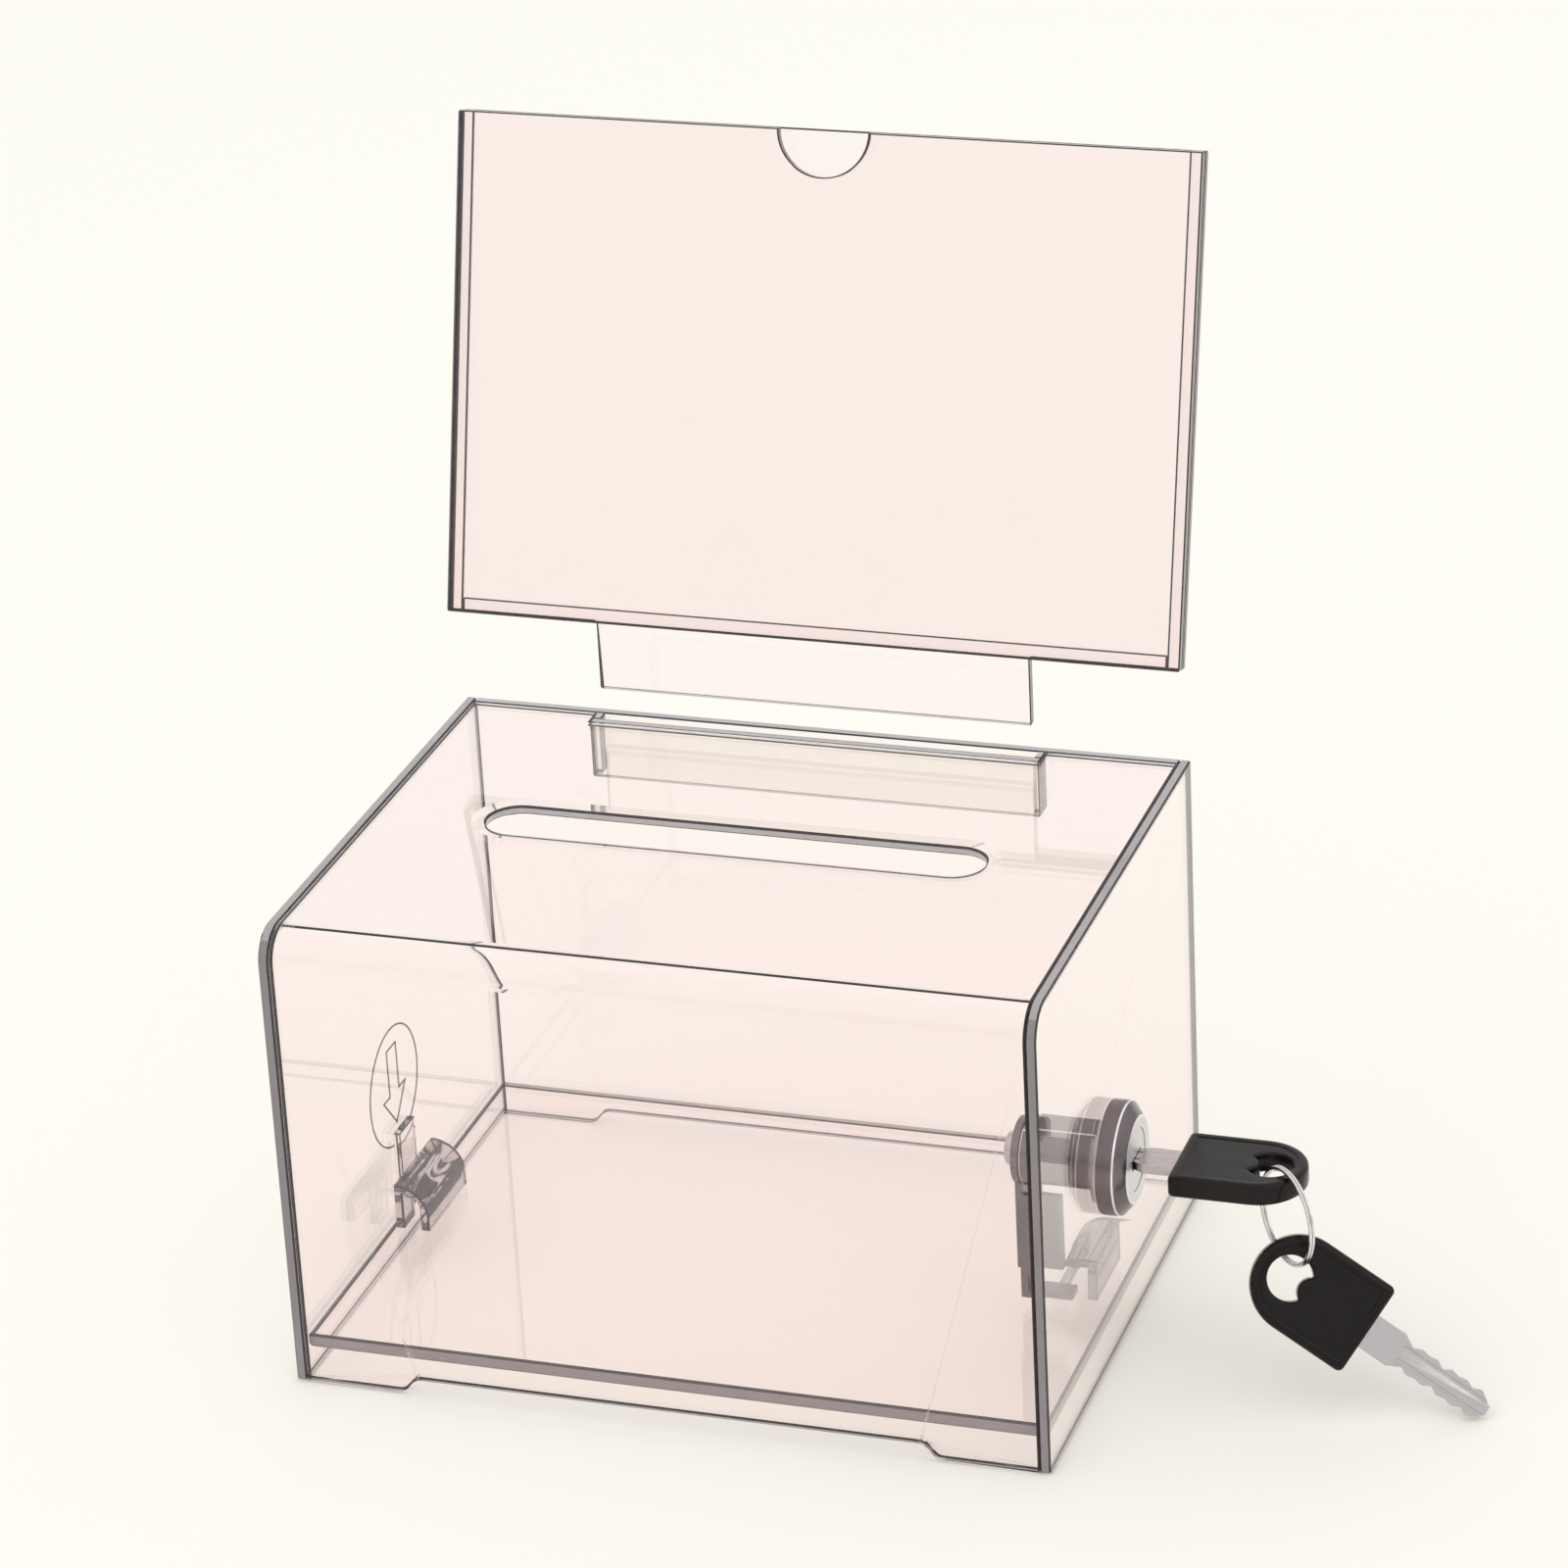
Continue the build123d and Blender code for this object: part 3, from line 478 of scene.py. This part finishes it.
def raised_line(name, outline):
    """A closed line that stands on the left wall's outer face, with its root just inside it."""
    count = len(outline)
    points, faces = [], []
    for i, here in enumerate(outline):
        here, before, after = Vector(here), Vector(outline[i - 1]), Vector(outline[(i + 1) % count])
        ahead, behind = (after - here).normalized(), (here - before).normalized()
        normal = Vector((-(ahead + behind).y, (ahead + behind).x)).normalized()
        reach = LINE_HALF_WIDTH / max(normal.dot(Vector((-ahead.y, ahead.x))), LEAST_MITRE)
        for side, rise in LINE_SECTION:
            spot = here + normal * reach * side
            points.append((MARK_X + LINE_ROOT - rise * LINE_HEIGHT, spot.x, spot.y))
    section = len(LINE_SECTION)
    for i in range(count):
        faces += bridge(section * i, section * ((i + 1) % count), section)
    return add_piece(name, mesh_from_points(name, points, faces), arris_painted_shade, "shell")


raised_line("arrow_mark_circle", mark_circle)
raised_line("arrow_mark_arrow", mark_arrow)

# ---------------------------------------------------------------- stage, lights and camera

# Metres, watts and linear colours.
FLOOR_SIZE = 12.0
FLOOR_HEIGHT = -0.0002
HORIZON_COLOUR = (0.60, 0.585, 0.59, 1)
SKY_COLOUR = (1.0, 0.995, 0.98, 1)
SKY_FROM = 0.45
SKY_STRENGTH = 0.99
CAMERA_PLACE = (0.362166, -1.002039, 0.602844)
CAMERA_RIGHT = (0.94990, 0.30867, -0.04893)
CAMERA_UP = (-0.08700, 0.41155, 0.90722)
CAMERA_BACK = (0.30017, -0.85753, 0.41779)
LENS_MM, SENSOR_MM = 135.62, 36
LIGHT_BOUNCES = 24


def plane(name, size, height, material):
    mesh = bpy.data.meshes.new(name)
    half = size / 2
    corners = [(x * half, y * half, height) for x, y in ((-1, -1), (1, -1), (1, 1), (-1, 1))]
    mesh.from_pydata(corners, [], [(0, 1, 2, 3)])
    mesh.materials.append(material)
    piece = bpy.data.objects.new(name, mesh)
    bpy.context.scene.collection.objects.link(piece)


floor_paper = patterned("floor_paper", (0.96, 0.955, 0.895), 0.995, (0.85, 0.95), (4, 4, 4))
plane("floor", FLOOR_SIZE, FLOOR_HEIGHT, floor_paper)

# The room is pale, and a little darker towards the horizon, which gives the clear sheets' edges depth.
world = bpy.data.worlds.new("studio")
world.use_nodes = True
bpy.context.scene.world = world
sky = world.node_tree
direction = sky.nodes.new("ShaderNodeTexCoord")
split = sky.nodes.new("ShaderNodeSeparateXYZ")
ramp = sky.nodes.new("ShaderNodeValToRGB")
sky.links.new(direction.outputs["Generated"], split.inputs["Vector"])
sky.links.new(split.outputs["Z"], ramp.inputs["Fac"])
sky.links.new(ramp.outputs["Color"], sky.nodes["Background"].inputs["Color"])
horizon, above = ramp.color_ramp.elements
horizon.position, horizon.color = 0.0, HORIZON_COLOUR
above.position, above.color = SKY_FROM, SKY_COLOUR
sky.nodes["Background"].inputs["Strength"].default_value = SKY_STRENGTH


def softbox(name, place, aim, size, power, seen_in_gloss):
    """A lamp panel. One that isn't seen in gloss leaves no white patch on the clear sheets."""
    light = bpy.data.lights.new(name, "AREA")
    light.shape = "RECTANGLE"
    light.size, light.size_y = size
    light.energy = power
    piece = bpy.data.objects.new(name, light)
    piece.visible_glossy = seen_in_gloss
    piece.visible_transmission = seen_in_gloss
    piece.location = place
    piece.rotation_mode = "QUATERNION"
    piece.rotation_quaternion = (Vector(aim) - Vector(place)).to_track_quat("-Z", "Y")
    bpy.context.scene.collection.objects.link(piece)


softbox("key_softbox", (-0.7, -0.6, 1.5), (0, 0, 0.1), (1.2, 0.9), 2.2, False)
softbox("fill_softbox", (1.1, -0.8, 0.9), (0.05, 0, 0.05), (0.8, 0.8), 0.9, True)
softbox("back_softbox", (0.1, 1.2, 1.1), (0, 0, 0.05), (1.4, 0.6), 0.9, False)

camera_data = bpy.data.cameras.new("camera")
camera_data.lens = LENS_MM
camera_data.sensor_width = SENSOR_MM
camera_data.clip_start = 0.01
camera_data.clip_end = 50
camera = bpy.data.objects.new("camera", camera_data)
bpy.context.scene.collection.objects.link(camera)
camera_turn = Matrix((CAMERA_RIGHT, CAMERA_UP, CAMERA_BACK)).transposed().to_4x4()
camera.matrix_world = Matrix.Translation(CAMERA_PLACE) @ camera_turn
bpy.context.scene.camera = camera

scene = bpy.context.scene
scene.view_settings.view_transform = "Standard"
scene.cycles.max_bounces = LIGHT_BOUNCES
scene.cycles.transmission_bounces = LIGHT_BOUNCES
scene.cycles.transparent_max_bounces = LIGHT_BOUNCES
